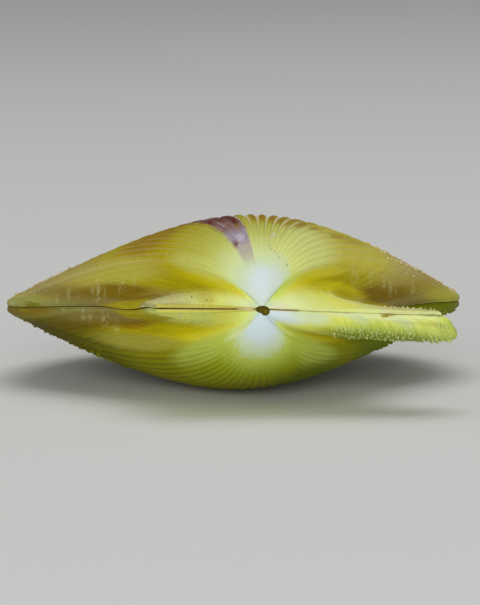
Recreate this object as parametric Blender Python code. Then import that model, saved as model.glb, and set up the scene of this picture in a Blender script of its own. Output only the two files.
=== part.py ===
"""A closed scallop shell: two hollow ribbed valves that meet along a straight hinge, and their ligament.

Each valve is swept the way a shell grows. Its flat outline, hinge along X and beak at the origin,
is shrunk towards the beak and turned about the hinge at the same time, which makes the swollen
umbo and its side folds. Lengths are in millimetres until a mesh is made. In the valves' own frame
Y runs from the hinge to the ventral margin, +X is anterior and the valves meet at Z = 0.
"""

import math

import bmesh
import bpy
import numpy as np

MM = 0.001
QUARTER = math.pi / 2

# Disc of both valves: an ellipse cut by one straight shoulder on each side of the beak.
DISC_CENTRE = (-3.1, 29.7)
DISC_HALF_LENGTH = 24.8
DISC_HALF_HEIGHT = 24.3
POSTERIOR_SHOULDER = math.radians(49.5)
ANTERIOR_SHOULDER = math.radians(39.7)
SHOULDER_ROUNDING = math.radians(5.0)
SHOULDER_DROP = 0.05
FAN_SPREAD = 0.08

# Turn of each valve about the hinge for one natural-log step of growth, and the lean of its depth.
LEFT_SWELL = 0.478
RIGHT_SWELL = 0.436
RIGHT_LEAN = 0.007

# Ears beside the beak, as quadratic curves from the hinge corner down to the shoulder:
# end point, control point, end point and so on.
LEFT_POSTERIOR_EAR = ((-11.0, 0), (-11.6, 3), (-11.9, 5.5), (-12.2, 8.5), (-13.3, 11.36))
RIGHT_POSTERIOR_EAR = ((-11.0, 0), (-11.3, 3), (-11.5, 5.2), (-11.6, 8.0), (-12.6, 10.76))
LEFT_ANTERIOR_EAR = (
    (18.4, 0), (19.2, 2.5), (18.0, 4.6), (16.4, 7.0), (14.2, 8.3), (12.9, 9.2), (12.4, 10.2)
)
RIGHT_ANTERIOR_EAR = (
    (17.9, 0), (20.6, 0.2), (20.7, 3.4), (20.7, 6.5), (17.4, 6.3), (13.0, 6.4), (9.8, 7.5),
    (8.6, 8.2), (9.3, 11.2)
)
# The right valve's anterior ear bends outwards to a byssal edge, above the notch for the byssus.
BYSSAL_FLARE = 2.9
BYSSAL_FLARE_REACH = 5.0
NOTCH_EASE = math.radians(20.0)

# Relief and wall. A stage is a growth stage: 0 at the beak and 1 at the margin.
RIBS = 26
RIB_HEIGHT = 0.62
RIB_SHARPNESS = 1.6
RIB_HEIGHT_PER_PITCH = 0.28
RIB_SIDE_DROP = 0.45
RIB_STAGES = (0.08, 0.25)
EAR_RIBLETS = 5
EAR_RIBLET_HEIGHT = 0.25
EAR_RIBLET_STAGES = (0.3, 0.9)
DISC_OFFSET = 0.3
EAR_OFFSET = 0.5
FULL_OFFSET_STAGE = 0.6
CAVITY_SCALE = 0.94
CAVITY_CENTRE = (2.0, 32.0)
CAVITY_HINGE_SIDE = 5.0
CAVITY_DEEPEST_STAGE = 0.22
VALVE_GAP = 0.3
EDGE_WALL = 0.9

# Bends that both valves share: a dip at the root of the posterior ears, and the hinge line's slope towards
# the right valve on its posterior and anterior side, which fades out away from the hinge.
SINUS_CENTRE = (-13.6, 11.6)
SINUS_REACH = 3.0
SINUS_DROP = 0.4
SINUS_DEPTH = 2.5
HINGE_SLOPES = (0.017, 0.05)
SLOPE_FADE = (8, 24)
SLOPE_DEPTH = 5.0

# Sunken seat in both hinge plates: a strip behind the hinge line, and a wedge for the pad at the beaks.
SEAT_DEPTH = 0.25
SEAT_ENDS = (-7.0, 11.0)
SEAT_FRONT = 0.6
SEAT_BACK = 1.6
PAD_BACK = 3.3
PAD_HALF_WIDTHS = (1.6, 0.6)
LIGAMENT_THICKNESS = 0.3
LIGAMENT_CLEARANCE = 0.3

# How the closed shell lies: on the right valve, with its ventral margin tipped down.
REST_PITCH = math.radians(6.0)
HINGE_PLACE = (3.1, -26.83, 11.2)

# Mesh density.
BEAK_STAGE = 0.03
GROWTH_STAGES = 13
STEPS_PER_RIB = 4
STEPS_PER_SHOULDER = 3
STEPS_PER_EAR = 11
NORMAL_EASING = 3
CAVITY_STAGES = 6
CAVITY_ARC_STEPS = 22
CAVITY_SIDE_STEPS = 4

LEFT_COLOUR = "#A9A83C"
RIGHT_COLOUR = "#8A8C34"
LIGAMENT_COLOUR = "#5A4A12"


def smooth_step(low, high, value):
    """0 below low, 1 above high, and an S-curve between."""
    part = np.clip((value - low) / (high - low), 0, 1)
    return part * part * (3 - 2 * part)


def ear_curve(points, steps):
    """Points along the joined quadratic curves, the same number on each ear."""
    points = [np.array(point, float) for point in points]
    spans = (len(points) - 1) // 2
    found = []
    for place in np.linspace(0, spans, steps):
        span = min(int(place), spans - 1)
        s = place - span
        start, control, end = points[2 * span : 2 * span + 3]
        found.append((1 - s) ** 2 * start + 2 * s * (1 - s) * control + s * s * end)
    return np.array(found)


def disc_radius(angle):
    """Distance from the beak to the far side of the disc's ellipse, for angles measured from +Y."""
    across, along = np.sin(angle), np.cos(angle)
    length, height = DISC_HALF_LENGTH, DISC_HALF_HEIGHT
    a = (across / length) ** 2 + (along / height) ** 2
    b = -2 * (across * DISC_CENTRE[0] / length**2 + along * DISC_CENTRE[1] / height**2)
    c = (DISC_CENTRE[0] / length) ** 2 + (DISC_CENTRE[1] / height) ** 2 - 1
    return (-b + np.sqrt(b * b - 4 * a * c)) / (2 * a)


def disc_arc(steps):
    """The disc's margin from the posterior to the anterior shoulder, with both corners rounded off."""
    angle = np.linspace(-POSTERIOR_SHOULDER, ANTERIOR_SHOULDER, steps)
    radius = disc_radius(angle)
    for inside in (angle + POSTERIOR_SHOULDER, ANTERIOR_SHOULDER - angle):
        radius *= 1 - SHOULDER_DROP * (1 - np.clip(inside / SHOULDER_ROUNDING, 0, 1)) ** 2
    return np.stack([radius * np.sin(angle), radius * np.cos(angle)], axis=1)


def between(start, end, steps):
    """Points that part the line from start to end evenly, without its ends."""
    part = np.linspace(0, 1, steps + 2)[1:-1, None]
    return start + (end - start) * part


def outline(is_left):
    """Margin from the posterior to the anterior end of the hinge: points, and the relief under each."""
    posterior = ear_curve(LEFT_POSTERIOR_EAR if is_left else RIGHT_POSTERIOR_EAR, STEPS_PER_EAR)
    anterior = ear_curve(LEFT_ANTERIOR_EAR if is_left else RIGHT_ANTERIOR_EAR, STEPS_PER_EAR)[::-1]
    arc = disc_arc(RIBS * STEPS_PER_RIB + 1)
    near = between(posterior[-1], arc[0], STEPS_PER_SHOULDER)
    far = between(arc[-1], anterior[0], STEPS_PER_SHOULDER)
    flat = np.vstack([posterior, near, arc, far, anterior])

    flare = np.zeros(len(flat))
    if not is_left:
        angle = np.arctan2(anterior[:, 0], anterior[:, 1])
        from_hinge = np.sin(np.clip(anterior[:, 1] / BYSSAL_FLARE_REACH, 0, 1) * QUARTER)
        from_disc = smooth_step(ANTERIOR_SHOULDER, ANTERIOR_SHOULDER + NOTCH_EASE, angle)
        flare[-len(anterior) :] = BYSSAL_FLARE * from_hinge * from_disc

    rib = np.zeros(len(flat))
    first = len(posterior) + len(near)
    turn = np.arange(len(arc)) / STEPS_PER_RIB
    side = np.abs(turn / RIBS * 2 - 1)
    crest = 1 - np.abs(np.cos(math.pi * turn)) ** RIB_SHARPNESS
    rib[first : first + len(arc)] = crest * (1 - RIB_SIDE_DROP * side**2)
    riblet = np.zeros(len(flat))
    wave = 0.5 - 0.5 * np.cos(np.linspace(0, 2 * math.pi * EAR_RIBLETS, STEPS_PER_EAR))
    riblet[: len(posterior)] = wave
    riblet[-len(anterior) :] = wave
    return np.column_stack([flat, flare]), rib, riblet


def grow(points, stages, swell):
    """Sweep an outline through its growth stages: shrunk to each stage and turned about the hinge."""
    angle = np.arctan2(points[:, 0], points[:, 1])
    radius = np.hypot(points[:, 0], points[:, 1])
    shoulder = np.where(angle < 0, POSTERIOR_SHOULDER, ANTERIOR_SHOULDER)
    size = np.abs(angle)
    rows = []
    for stage in stages:
        narrow = 1 - FAN_SPREAD * (1 - stage)
        on_disc = size * narrow
        on_ear = QUARTER - (QUARTER - size) * (QUARTER - shoulder * narrow) / (QUARTER - shoulder)
        fan = np.where(size <= shoulder + 1e-9, on_disc, on_ear) * np.sign(angle)
        x = radius * np.sin(fan)
        y = radius * np.cos(fan)
        z = points[:, 2]
        turn = swell * math.log(1 / stage)
        cos, sin = math.cos(turn), math.sin(turn)
        rows.append(np.stack([x, y * cos - z * sin, y * sin + z * cos], axis=1) * stage)
    return np.array(rows)


def swell_of(is_left):
    return LEFT_SWELL if is_left else RIGHT_SWELL


def lean(grid, is_left):
    """Deepen the posterior side of the right valve a little, and make the anterior side shallower."""
    if not is_left:
        grid[..., 2] *= 1 - RIGHT_LEAN * grid[..., 0]
    return grid


def eased(normal):
    """Normals averaged with their neighbours, so that the skin doesn't cross itself in the folds."""
    for _ in range(NORMAL_EASING):
        wide = np.concatenate([normal[:, :1], normal, normal[:, -1:]], axis=1)
        normal = wide[:, :-2] + 2 * wide[:, 1:-1] + wide[:, 2:]
        normal /= np.linalg.norm(normal, axis=2, keepdims=True)
    return normal


def outer_surface(is_left):
    """Grid of the valve's outside, one row a growth stage from the beak to the margin."""
    points, rib, riblet = outline(is_left)
    stages = np.linspace(math.sqrt(BEAK_STAGE), 1, GROWTH_STAGES) ** 2
    grid = lean(grow(points, stages, swell_of(is_left)), is_left)
    normal = np.cross(np.gradient(grid, axis=1), np.gradient(grid, axis=0))
    normal = eased(normal / np.linalg.norm(normal, axis=2, keepdims=True))
    stage = stages[:, None]
    pitch = stage * np.hypot(points[:, 0], points[:, 1]) * (POSTERIOR_SHOULDER + ANTERIOR_SHOULDER) / RIBS
    height = RIB_HEIGHT * (1 - np.exp(-RIB_HEIGHT_PER_PITCH * pitch / RIB_HEIGHT))
    on_ear = np.ones(len(points))
    on_ear[STEPS_PER_EAR:-STEPS_PER_EAR] = 0
    skin_height = DISC_OFFSET + (EAR_OFFSET - DISC_OFFSET) * on_ear
    offset = skin_height * np.minimum(stage / FULL_OFFSET_STAGE, 1)
    offset = offset + height * smooth_step(*RIB_STAGES, stage) * rib
    offset = offset + EAR_RIBLET_HEIGHT * smooth_step(*EAR_RIBLET_STAGES, stage) * riblet
    return grid + normal * offset[:, :, None]


def cavity_surface(is_left):
    """Closed rows of the hollow, from its mouth at the commissure to its deepest stage near the beak."""
    arc = disc_arc(CAVITY_ARC_STEPS)
    first = arc[0] / np.linalg.norm(arc[0]) * CAVITY_HINGE_SIDE
    last = arc[-1] / np.linalg.norm(arc[-1]) * CAVITY_HINGE_SIDE
    near = between(first, arc[0], CAVITY_SIDE_STEPS)
    far = between(arc[-1], last, CAVITY_SIDE_STEPS)
    loop = np.vstack([first[None], near, arc, far, last[None]])
    points = np.column_stack([loop, np.zeros(len(loop))])
    stages = np.linspace(1, CAVITY_DEEPEST_STAGE, CAVITY_STAGES)
    grid = lean(grow(points, stages, swell_of(is_left)), is_left)
    centre = np.array([*CAVITY_CENTRE, 0])
    return centre + (grid - centre) * CAVITY_SCALE


def rest_height(points):
    """Height of each point above the surface that the shell lies on."""
    return HINGE_PLACE[2] - points[..., 1] * math.sin(REST_PITCH) + points[..., 2] * math.cos(REST_PITCH)


def press_flat(points):
    """Wear the crests of the lowest ribs down to the surface that they stand on."""
    below = np.minimum(rest_height(points), 0)
    up = np.array([0, -math.sin(REST_PITCH), math.cos(REST_PITCH)])
    return points - below[..., None] * up


def bend(points):
    """The dip and the slope that both valves share, so that they still meet."""
    away = np.hypot(points[:, 0] - SINUS_CENTRE[0], points[:, 1] - SINUS_CENTRE[1]) / SINUS_REACH
    dip = SINUS_DROP * np.exp(-(away**2)) * np.exp(-((points[:, 2] / SINUS_DEPTH) ** 2))
    slope = np.where(points[:, 0] < 0, *HINGE_SLOPES)
    near = (1 - smooth_step(*SLOPE_FADE, points[:, 1])) * np.exp(-((points[:, 2] / SLOPE_DEPTH) ** 2))
    drop = dip + slope * points[:, 0] * near
    return points - drop[:, None] * np.array([0, 0, 1])


def settle(bm, is_worn):
    """Bend a finished surface, and wear its lowest crests if the shell stands on them."""
    points = bend(np.array([vert.co[:] for vert in bm.verts]) / MM)
    if is_worn:
        points = press_flat(points)
    for vert, point in zip(bm.verts, points):
        vert.co = point * MM


def seat_outline(inset):
    """Outline of the ligament's seat, drawn in by the inset on every side."""
    start, end = SEAT_ENDS[0] + inset, SEAT_ENDS[1] - inset
    front, back, pad_back = SEAT_FRONT + inset, SEAT_BACK - inset, PAD_BACK - inset
    wide, narrow = (half - inset for half in PAD_HALF_WIDTHS)
    strip = [(start, front), (end, front), (end, back)]
    pad = [(wide, back), (narrow, pad_back), (-narrow, pad_back), (-wide, back)]
    return strip + pad + [(start, back)]


def add_grid(bm, grid):
    return [[bm.verts.new(point) for point in row] for row in grid]


def skin(bm, rows, closed=False):
    """Quads between neighbouring rows of vertices."""
    for low, high in zip(rows, rows[1:]):
        count = len(low)
        for i in range(count if closed else count - 1):
            k = (i + 1) % count
            bm.faces.new((low[i], low[k], high[k], high[i]))


def loop_edges(bm, loop):
    edges = []
    for i, vert in enumerate(loop):
        pair = (vert, loop[(i + 1) % len(loop)])
        edges.append(bm.edges.get(pair) or bm.edges.new(pair))
    return edges


def finish_mesh(bm, name, material):
    """Turn the modelled surface into a smooth-shaded object with outward faces."""
    bmesh.ops.recalc_face_normals(bm, faces=bm.faces)
    bmesh.ops.triangulate(bm, faces=bm.faces)
    mesh = bpy.data.meshes.new(name)
    bm.to_mesh(mesh)
    bm.free()
    mesh.shade_smooth()
    mesh.set_sharp_from_angle(angle=math.radians(50))
    mesh.materials.append(material)
    obj = bpy.data.objects.new(name, mesh)
    bpy.context.scene.collection.objects.link(obj)
    return obj


def make_valve(name, is_left, material):
    """One hollow valve: ribbed outside, flat hinge plate and rim, cavity, and the ligament's seat."""
    side = 1 if is_left else -1
    face = VALVE_GAP / 2
    flip = np.array([1, 1, side])
    shift = np.array([0, 0, side * face])
    outside = outer_surface(is_left) * flip + shift
    cavity = cavity_surface(is_left) * flip + shift

    bm = bmesh.new()
    rows = add_grid(bm, outside * MM)
    skin(bm, rows)
    around = [row[0] for row in rows[:-1]] + rows[-1] + [row[-1] for row in rows[-2::-1]]

    # The rim: below each edge point of the outside, a point on the flat where the valves meet. The bent
    # byssal ear stands off from the flat, so its rim is one wall thickness from its outside.
    flat = []
    for vert in around:
        height = max(face * MM, abs(vert.co.z) - EDGE_WALL * MM)
        flat.append(bm.verts.new((vert.co.x, max(vert.co.y, 0), side * height)))
    skin(bm, [around, flat])
    bm.faces.new(rows[0] + [flat[-1], flat[0]])

    mouth = add_grid(bm, cavity * MM)
    skin(bm, mouth, closed=True)
    bm.faces.new(mouth[-1])

    seat = [
        [bm.verts.new((x * MM, y * MM, side * height * MM)) for x, y in seat_outline(0)]
        for height in (face, face + SEAT_DEPTH)
    ]
    skin(bm, seat, closed=True)
    bm.faces.new(seat[1])

    edges = loop_edges(bm, flat) + loop_edges(bm, mouth[0]) + loop_edges(bm, seat[0])
    bmesh.ops.triangle_fill(bm, use_beauty=True, edges=edges, normal=(0, 0, -side))
    settle(bm, is_worn=not is_left)
    return finish_mesh(bm, name, material)


def make_ligament(name, material):
    """The strip along the hinge and the pad at the beaks, one flat piece between the two seats."""
    bm = bmesh.new()
    faces = [
        [bm.verts.new((x * MM, y * MM, height * MM)) for x, y in seat_outline(LIGAMENT_CLEARANCE)]
        for height in (-LIGAMENT_THICKNESS / 2, LIGAMENT_THICKNESS / 2)
    ]
    skin(bm, faces, closed=True)
    bm.faces.new(faces[0])
    bm.faces.new(faces[1])
    settle(bm, is_worn=False)
    return finish_mesh(bm, name, material)


def make_material(name, colour, roughness):
    """Principled material from an sRGB hex colour."""
    linear = []
    for start in (1, 3, 5):
        value = int(colour[start : start + 2], 16) / 255
        linear.append(value / 12.92 if value <= 0.04045 else ((value + 0.055) / 1.055) ** 2.4)
    material = bpy.data.materials.new(name)
    material.use_nodes = True
    shader = material.node_tree.nodes["Principled BSDF"]
    shader.inputs["Base Color"].default_value = (*linear, 1)
    shader.inputs["Roughness"].default_value = roughness
    material.diffuse_color = (*linear, 1)
    return material


def main():
    for obj in list(bpy.data.objects):
        bpy.data.objects.remove(obj)
    lie = bpy.data.objects.new("shell_rest", None)
    lie.location = [value * MM for value in HINGE_PLACE]
    lie.rotation_euler = (-REST_PITCH, 0, 0)
    bpy.context.scene.collection.objects.link(lie)

    pieces = (
        make_valve("left_valve", True, make_material("upper_shell", LEFT_COLOUR, 0.5)),
        make_valve("right_valve", False, make_material("lower_shell", RIGHT_COLOUR, 0.5)),
        make_ligament("ligament", make_material("ligament_brown", LIGAMENT_COLOUR, 0.6)),
    )
    for piece in pieces:
        piece.parent = lie
    bpy.context.view_layer.update()


main()
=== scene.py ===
import math

import bmesh
import bpy
import numpy as np
from mathutils import Matrix, Vector


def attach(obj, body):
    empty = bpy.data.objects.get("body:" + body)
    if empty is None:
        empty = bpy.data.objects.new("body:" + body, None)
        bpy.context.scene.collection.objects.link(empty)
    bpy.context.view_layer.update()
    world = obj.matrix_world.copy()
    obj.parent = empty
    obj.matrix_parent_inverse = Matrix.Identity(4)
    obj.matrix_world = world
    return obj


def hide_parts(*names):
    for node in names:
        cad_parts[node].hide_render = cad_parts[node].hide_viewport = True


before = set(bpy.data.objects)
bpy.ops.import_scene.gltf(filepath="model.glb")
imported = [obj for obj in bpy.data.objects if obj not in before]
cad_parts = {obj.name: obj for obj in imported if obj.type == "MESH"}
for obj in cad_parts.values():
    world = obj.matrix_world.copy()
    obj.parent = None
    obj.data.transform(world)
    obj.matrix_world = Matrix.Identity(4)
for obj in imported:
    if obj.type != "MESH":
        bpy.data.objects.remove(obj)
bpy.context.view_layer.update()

MM = 0.001
QUARTER = math.pi / 2

# The valves' shape, with the same values as the solids but for the end of the right anterior ear.
# Lengths are in millimetres, in the valves' own frame: Y runs from the hinge to the ventral margin, +X is
# anterior and the valves meet at Z = 0.
DISC_CENTRE = (-3.1, 29.7)
DISC_HALF_LENGTH = 24.8
DISC_HALF_HEIGHT = 24.3
POSTERIOR_SHOULDER = math.radians(49.5)
ANTERIOR_SHOULDER = math.radians(39.7)
SHOULDER_ROUNDING = math.radians(5.0)
SHOULDER_DROP = 0.05
FAN_SPREAD = 0.08
LEFT_SWELL = 0.478
RIGHT_SWELL = 0.436
RIGHT_LEAN = 0.007
LEFT_POSTERIOR_EAR = ((-11.0, 0), (-11.6, 3), (-11.9, 5.5), (-12.2, 8.5), (-13.3, 11.36))
RIGHT_POSTERIOR_EAR = ((-11.0, 0), (-11.3, 3), (-11.5, 5.2), (-11.6, 8.0), (-12.6, 10.76))
LEFT_ANTERIOR_EAR = (
    (18.4, 0), (18.6, 2.2), (16.6, 3.8), (14.4, 5.4), (12.6, 7.6), (11.4, 9.2), (12.3, 14.4)
)
RIGHT_ANTERIOR_EAR = (
    (17.9, 0), (19.4, 0.2), (19.7, 1.6), (20.9, 3.8), (18.6, 5.4), (14.6, 6.4), (9.8, 7.5),
    (8.6, 8.2), (9.3, 11.2)
)
BYSSAL_FLARE = 2.9
BYSSAL_FLARE_REACH = 5.0
NOTCH_EASE = math.radians(20.0)
RIBS = 26
RIB_HEIGHT = 0.62
RIB_HEIGHT_PER_PITCH = 0.28
RIB_SIDE_DROP = 0.45
RIB_STAGES = (0.08, 0.25)
EAR_RIBLETS = 5
EAR_RIBLET_HEIGHT = 0.12
EAR_RIBLET_STAGES = (0.3, 0.9)
SKIN_OFFSET = 0.3
FULL_OFFSET_STAGE = 0.6
LEFT_EAR_DIP = 0.6
LEFT_EAR_DIP_REACH = (7, 13)
VALVE_GAP = 0.3
CAVITY_SCALE = 0.94
CAVITY_CENTRE = (2.0, 32.0)
CAVITY_HINGE_SIDE = 5.0
CAVITY_DEEPEST_STAGE = 0.22
REST_PITCH = math.radians(6.0)
HINGE_PLACE = (3.1, -26.83, 11.2)

# Finer relief than the solids have: round ribs with a thin thread in each narrow interspace. In the middle of
# the left valve they are sharp. At its sides and on the right valve they are worn soft. The growth steps come
# unevenly: their count is shifted by a slow wave, given as its height in steps and its speed.
RIB_ROUNDNESS = 0.7
SOFT_ROUNDNESS = 1.5
SOFT_SIDES = (0.25, 0.6)
RIGHT_RIB_HEIGHT = 0.6
GROOVE_DEPTH = 0.16
THREAD_HEIGHT = 0.12
THREAD_HALF_WIDTH = 0.075
GROWTH_STEPS = 21
GROWTH_STEP_HEIGHT = 0.05
GROWTH_STEP_STAGES = (0.3, 0.6)
GROWTH_STEP_DRIFT = (0.6, 17)
LIP_STAGE = 0.985

# The wall at the margin and at the end of the anterior ears, and the gap between the valves: along the
# margin, and along the hinge line, where it closes towards the anterior ears.
EDGE_WALL = 0.6
EAR_WALL = 0.3
EAR_WALL_REACH = (13, 17)
MARGIN_GAP = 0.09
HINGE_GAP = 0.16
CLOSED_HINGE_GAP = 0.06
CLOSED_HINGE_START = 3.8
HINGE_SIDE = 1.0

# Scales: lamellae about 0.5 mm wide that lean towards the margin, narrow a little to the free edge, and are
# arched across. Their spacing and size vary by chance, and a few are lost.
SCALE_WIDTH = 0.5
SCALE_HEIGHT = 0.27
SCALE_THICKNESS = 0.06
SCALE_SINK = 0.08
SCALE_TAPER = 0.2
SCALE_ARCH = 0.4
SCALE_LEAN = 0.75
SCALE_CURL = 0.35
SCALE_FIRST = (0.2, 0.9)
SCALE_STRIDE = (0.75, 1.3)
SCALE_WEAR = (0.6, 1.15)
SCALE_LOST = 0.07
LEFT_CHANCE = 11
RIGHT_CHANCE = 12

# Rows of scales: offset from a rib's crest in ribs (on an ear, the part of its width), the growth stage where
# the row starts, the spacing in mm, and the size against a full scale. On the outermost ribs the scales are
# smaller, on the posterior half of the left valve they start later, and low down they are worn off.
SCALE_ROWS = ((0.0, 0.6, 0.6, 0.95), (-0.29, 0.86, 0.6, 0.6), (0.29, 0.86, 0.6, 0.6))
SCALE_END = 0.978
OUTER_RIBS = (0, 1, 25)
OUTER_SCALE_SIZE = 0.5
POSTERIOR_START = 0.76
SCALE_FLOOR = 0.3
LEFT_EAR_ROWS = ((0.12, 0.76, 0.55, 1.1), (0.2, 0.68, 0.55, 1.0), (0.3, 0.64, 0.55, 0.8))
RIGHT_EAR_ROWS = (
    (0.27, 0.6, 0.55, 0.9), (0.3, 0.5, 0.5, 0.9), (0.33, 0.37, 0.4, 0.8), (0.37, 0.35, 0.4, 0.9),
    (0.4, 0.62, 0.5, 1.5), (0.43, 0.35, 0.4, 0.9), (0.48, 0.5, 0.5, 1.2), (0.54, 0.4, 0.5, 1.0),
    (0.64, 0.5, 0.55, 0.9), (0.8, 0.6, 0.55, 0.8),
    (0.05, 0.94, 0.45, 1.2), (0.11, 0.92, 0.45, 1.3), (0.17, 0.9, 0.45, 1.2), (0.23, 0.88, 0.5, 1.1),
)
POSTERIOR_EAR_ROWS = ((0.3, 0.7, 0.6, 0.5), (0.6, 0.7, 0.6, 0.5))

# The dried ligament along the hinge line: distance from the beak, half thickness, how far it stands back and
# paint. Where it floors the hole between the beaks, its dark paint is painted shade. Its thickness is a
# little ragged, by two waves.
LIGAMENT_COURSE = (
    (-10.4, 0.05, 0.15, "umber"), (-9.0, 0.09, 0.05, "umber"), (-8.2, 0.09, -0.02, "bark"),
    (-5.2, 0.09, -0.03, "bark"), (-4.8, 0.14, -0.05, "bark"), (-2.9, 0.13, -0.05, "bark"),
    (-2.4, 0.13, -0.05, "shell_pink"), (-1.7, 0.22, -0.06, "shell_pink"), (-1.0, 0.24, -0.03, "shell_pink"),
    (-0.7, 0.3, 0.1, "hole"), (0.0, 0.36, 0.3, "hole"), (0.7, 0.3, 0.1, "hole"),
    (1.2, 0.13, -0.02, "straw"), (1.6, 0.1, -0.03, "tan_pink"), (2.9, 0.1, -0.03, "tan_pink"),
    (3.7, 0.1, -0.02, "parchment"), (9.4, 0.1, -0.02, "parchment"), (11.8, 0.1, -0.02, "cream_lemon"),
    (12.2, 0.06, 0.05, "straw"), (14.2, 0.06, 0.03, "straw"), (14.5, 0.07, -0.01, "tan_red"),
    (15.3, 0.07, -0.01, "tan_red"), (15.7, 0.1, -0.02, "cream_lemon"), (18.0, 0.1, 0.06, "cream_lemon"),
)
LIGAMENT_DEPTH = 1.1
LIGAMENT_RAGGED = 0.25
LIGAMENT_WAVES = (5.3, 2.1)
LIGAMENT_STEPS = 220
LIGAMENT_SIDES = 12

# Where both valves bend down at the roots of the ears: centre, reach and drop.
SINUSES = (((-13.6, 11.6), 3.0, 0.4),)
SINUS_DEPTH = 2.5

# The hinge line's slope towards the right valve, on its posterior and its anterior side, and where it fades.
HINGE_SLOPES = (0.017, 0.05)
SLOPE_FADE = (8, 24)
SLOPE_DEPTH = 5.0

# Hollows along the hinge line, as centre, half size, depth and paint: two that make the hole between the
# beaks, whose dark paint is painted shade, and two that make the narrow notch where the anterior ears part.
HOLLOWS = (
    ((-0.02, -0.02), (0.66, 0.36), 0.6, "hole"),
    ((0.3, -0.28), (0.42, 0.36), 0.6, "hole"),
    ((12.9, -0.72), (0.85, 0.18), 0.15, "parchment"),
    ((12.6, -0.86), (0.42, 0.1), 0.15, "khaki"),
)
HOLLOW_REACH = 2

# The camera that fits the photo's outline. Target and distance are in the valves' own frame.
CAMERA_AZIMUTH = -0.21
CAMERA_ELEVATION = 1.144
CAMERA_ROLL = 0.633
CAMERA_TARGET = (-2.407, 27.0, 0.169)
CAMERA_DISTANCE = 470
CAMERA_FOCAL_PIXELS = 4309
PHOTO_WIDTH_PIXELS = 480
SENSOR_WIDTH = 36

# Mesh density of the valves' outside.
BEAK_STAGE = 0.006
GROWTH_STAGES = 170
LIP_STAGES = 6
LIP_EASING = 1.6
STEPS_PER_RIB = 14
STEPS_PER_SHOULDER = 16
STEPS_PER_EAR = 34
NORMAL_EASING = 12
OUTLINE_EASING = 90
CAVITY_STAGES = 8
CAVITY_ARC_STEPS = 60
CAVITY_SIDE_STEPS = 12

# The UV map's strips, from its left side: posterior ear, flank, ribbed disc, and the same again to the right.
# The cavity's faces are marked by a growth stage past the margin's 1.
EAR_U = 0.08
DISC_U = (0.14, 0.86)
CAVITY_MARK = 1.2

# Points closer than this, in mm, are one, and so are angles closer than this.
SAME_PLACE = 1e-4
SAME_ANGLE = 1e-9
VALVE_SMOOTHING = math.radians(60)
SMALL_PIECE_SMOOTHING = math.radians(50)


def smooth_step(low, high, value):
    """0 below low, 1 above high, and an S-curve between."""
    part = np.clip((value - low) / (high - low), 0, 1)
    return part * part * (3 - 2 * part)


def ear_curve(points, steps):
    """Points along the joined quadratic curves, the same number on each ear."""
    points = [np.array(point, float) for point in points]
    spans = (len(points) - 1) // 2
    found = []
    for place in np.linspace(0, spans, steps):
        span = min(int(place), spans - 1)
        s = place - span
        start, control, end = points[2 * span : 2 * span + 3]
        found.append((1 - s) ** 2 * start + 2 * s * (1 - s) * control + s * s * end)
    return np.array(found)


def disc_radius(angle):
    """Distance from the beak to the far side of the disc's ellipse, for angles measured from +Y."""
    across, along = np.sin(angle), np.cos(angle)
    length, height = DISC_HALF_LENGTH, DISC_HALF_HEIGHT
    a = (across / length) ** 2 + (along / height) ** 2
    b = -2 * (across * DISC_CENTRE[0] / length**2 + along * DISC_CENTRE[1] / height**2)
    c = (DISC_CENTRE[0] / length) ** 2 + (DISC_CENTRE[1] / height) ** 2 - 1
    return (-b + np.sqrt(b * b - 4 * a * c)) / (2 * a)


def disc_arc(steps):
    """The disc's margin from the posterior to the anterior shoulder, with both corners rounded off."""
    angle = np.linspace(-POSTERIOR_SHOULDER, ANTERIOR_SHOULDER, steps)
    radius = disc_radius(angle)
    for inside in (angle + POSTERIOR_SHOULDER, ANTERIOR_SHOULDER - angle):
        radius *= 1 - SHOULDER_DROP * (1 - np.clip(inside / SHOULDER_ROUNDING, 0, 1)) ** 2
    return np.stack([radius * np.sin(angle), radius * np.cos(angle)], axis=1)


def between(start, end, steps):
    """Points that part the line from start to end evenly, without its ends."""
    part = np.linspace(0, 1, steps + 2)[1:-1, None]
    return start + (end - start) * part


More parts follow.
